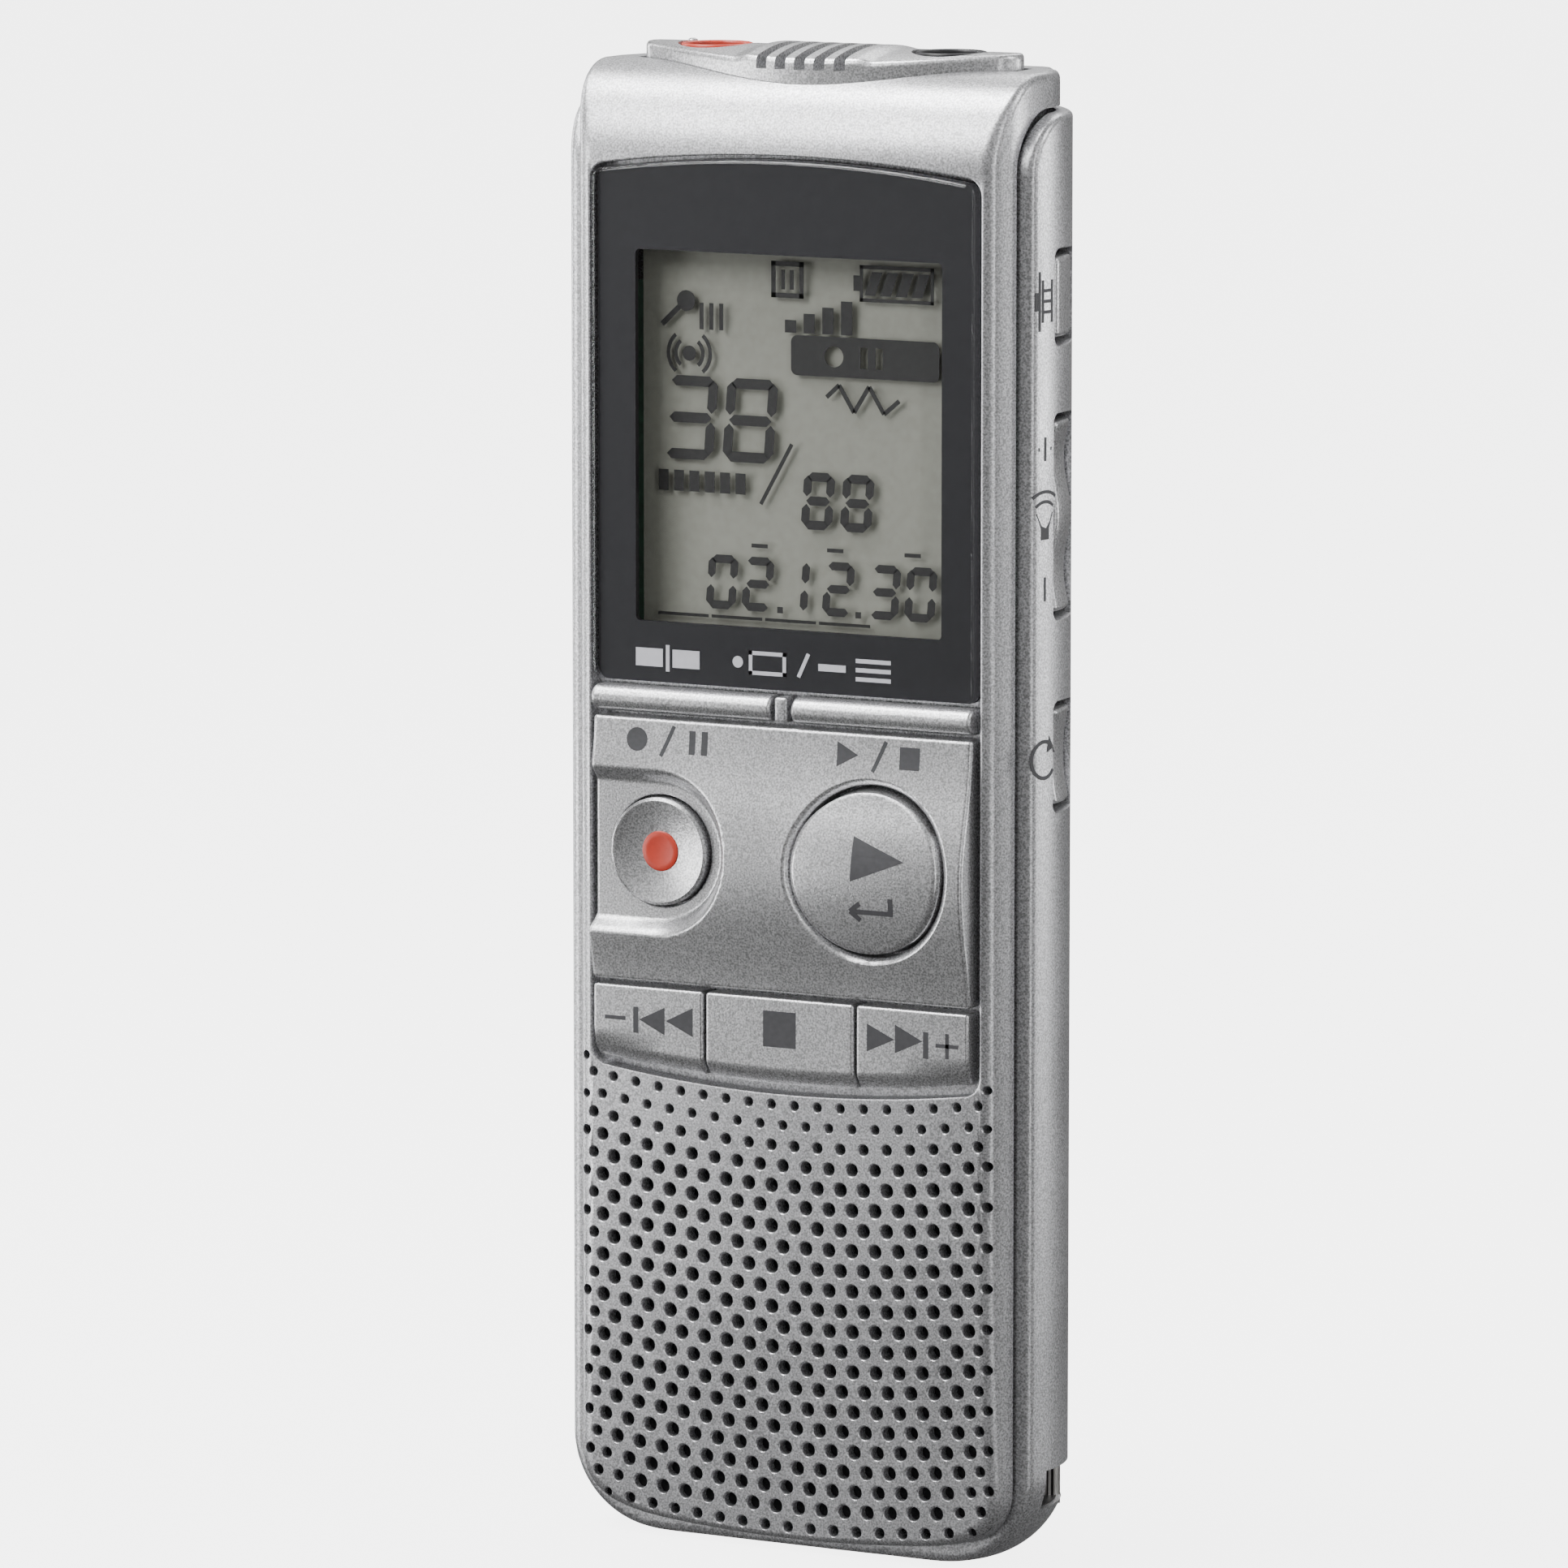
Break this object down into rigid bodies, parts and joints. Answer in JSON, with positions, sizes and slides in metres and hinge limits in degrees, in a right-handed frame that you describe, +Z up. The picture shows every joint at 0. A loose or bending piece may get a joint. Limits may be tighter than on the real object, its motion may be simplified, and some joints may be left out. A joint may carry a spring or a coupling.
{
  "type": "digital voice recorder",
  "caption": "Slim handheld voice recorder with a display, record and play buttons, transport keys, side controls, a speaker grille, top microphones and jacks.",
  "frame": {"origin": "centre of the bounding box in plan, at the bottom end", "axes": "+Z runs up the body, +X to the right seen from the front, -Y out of the front face"},
  "size_m": [0.0382, 0.0206, 0.1078],
  "materials": {
    "silver_case": "satin silver metallic paint over plastic",
    "silver_controls": "satin silver metallic paint over plastic",
    "display_lens": "glossy near-black acrylic with a clear window",
    "display_glass": "grey-green liquid crystal display with dark segments",
    "black_plastic": "matte black plastic",
    "red_plastic": "satin red plastic",
    "keypad_rubber": "grey silicone rubber",
    "circuit_board": "green solder mask on fibreglass",
    "steel": "nickel-plated steel",
    "cell_sleeve": "printed sleeve, plain blue",
    "speaker_cloth": "black woven cloth"
  },
  "bodies": {
    "case": {"front_shell": "silver_case", "rear_shell": "silver_case", "top_cap": "silver_case", "strap_bar": "steel", "case_screw_left": "steel", "case_screw_right": "steel", "case_screw_top": "steel", "display_lens": "display_lens", "display_glass": "display_glass", "control_plate": "silver_controls", "microphone_jack": "black_plastic", "microphone_jack_ring": "red_plastic", "headphone_jack": "black_plastic", "headphone_jack_ring": "black_plastic", "left_microphone": "steel", "right_microphone": "steel", "side_board": "circuit_board", "erase_switch": "black_plastic", "volume_up_switch": "black_plastic", "volume_down_switch": "black_plastic", "repeat_switch": "black_plastic", "hold_switch": "black_plastic", "main_board": "circuit_board", "keypad_membrane": "keypad_rubber", "processor_chip": "black_plastic", "memory_chip": "black_plastic", "divide_dome": "steel", "menu_dome": "steel", "record_dome": "steel", "play_dome": "steel", "previous_dome": "steel", "stop_dome": "steel", "next_dome": "steel", "board_screw_left": "steel", "board_screw_right": "steel", "speaker_frame": "steel", "speaker_cone": "speaker_cloth", "grille_cloth": "speaker_cloth", "battery_tray": "black_plastic", "left_cell": "cell_sleeve", "right_cell": "cell_sleeve", "left_contact_spring": "steel", "right_contact_spring": "steel", "bridge_contact": "steel", "positive_contact": "steel"},
    "record_button": {"record_button": "silver_controls", "record_dot": "red_plastic"},
    "play_button": {"play_button": "silver_controls"},
    "divide_key": {"divide_key": "silver_controls"},
    "menu_key": {"menu_key": "silver_controls"},
    "previous_key": {"previous_key": "silver_controls"},
    "stop_key": {"stop_key": "silver_controls"},
    "next_key": {"next_key": "silver_controls"},
    "erase_button": {"erase_button": "silver_controls"},
    "repeat_button": {"repeat_button": "silver_controls"},
    "volume_rocker": {"volume_rocker": "silver_controls"},
    "hold_slider": {"hold_slider": "silver_controls"},
    "battery_cover": {"battery_cover": "silver_case"}
  },
  "joints": [
    {"name": "record_button_press", "type": "slide", "parent": "case", "child": "record_button", "axis": [0, 1, 0], "range_m": [0, 0.00025], "stiffness_N_per_m": 1500},
    {"name": "play_button_press", "type": "slide", "parent": "case", "child": "play_button", "axis": [0, 1, 0], "range_m": [0, 0.00025], "stiffness_N_per_m": 1500},
    {"name": "divide_key_press", "type": "slide", "parent": "case", "child": "divide_key", "axis": [0, 1, 0], "range_m": [0, 0.00025], "stiffness_N_per_m": 1500},
    {"name": "menu_key_press", "type": "slide", "parent": "case", "child": "menu_key", "axis": [0, 1, 0], "range_m": [0, 0.00025], "stiffness_N_per_m": 1500},
    {"name": "previous_key_press", "type": "slide", "parent": "case", "child": "previous_key", "axis": [0, 1, 0], "range_m": [0, 0.00025], "stiffness_N_per_m": 1500},
    {"name": "stop_key_press", "type": "slide", "parent": "case", "child": "stop_key", "axis": [0, 1, 0], "range_m": [0, 0.00025], "stiffness_N_per_m": 1500},
    {"name": "next_key_press", "type": "slide", "parent": "case", "child": "next_key", "axis": [0, 1, 0], "range_m": [0, 0.00025], "stiffness_N_per_m": 1500},
    {"name": "erase_button_press", "type": "slide", "parent": "case", "child": "erase_button", "axis": [-1, 0, 0], "range_m": [0, 0.0003], "stiffness_N_per_m": 1500},
    {"name": "repeat_button_press", "type": "slide", "parent": "case", "child": "repeat_button", "axis": [-1, 0, 0], "range_m": [0, 0.0003], "stiffness_N_per_m": 1500},
    {"name": "volume_rocker_tilt", "type": "hinge", "parent": "case", "child": "volume_rocker", "pos_m": [0.0179, -0.00115, 0.07525], "axis": [0, 1, 0], "range_deg": [-2, 2], "stiffness_Nm_per_rad": 0.02},
    {"name": "hold_slide", "type": "slide", "parent": "case", "child": "hold_slider", "axis": [0, 0, 1], "range_m": [0, 0.004]},
    {"name": "battery_cover_hinge", "type": "hinge", "parent": "case", "child": "battery_cover", "pos_m": [0, 0.01035, 0.033], "axis": [-1, 0, 0], "range_deg": [0, 75]}
  ]
}
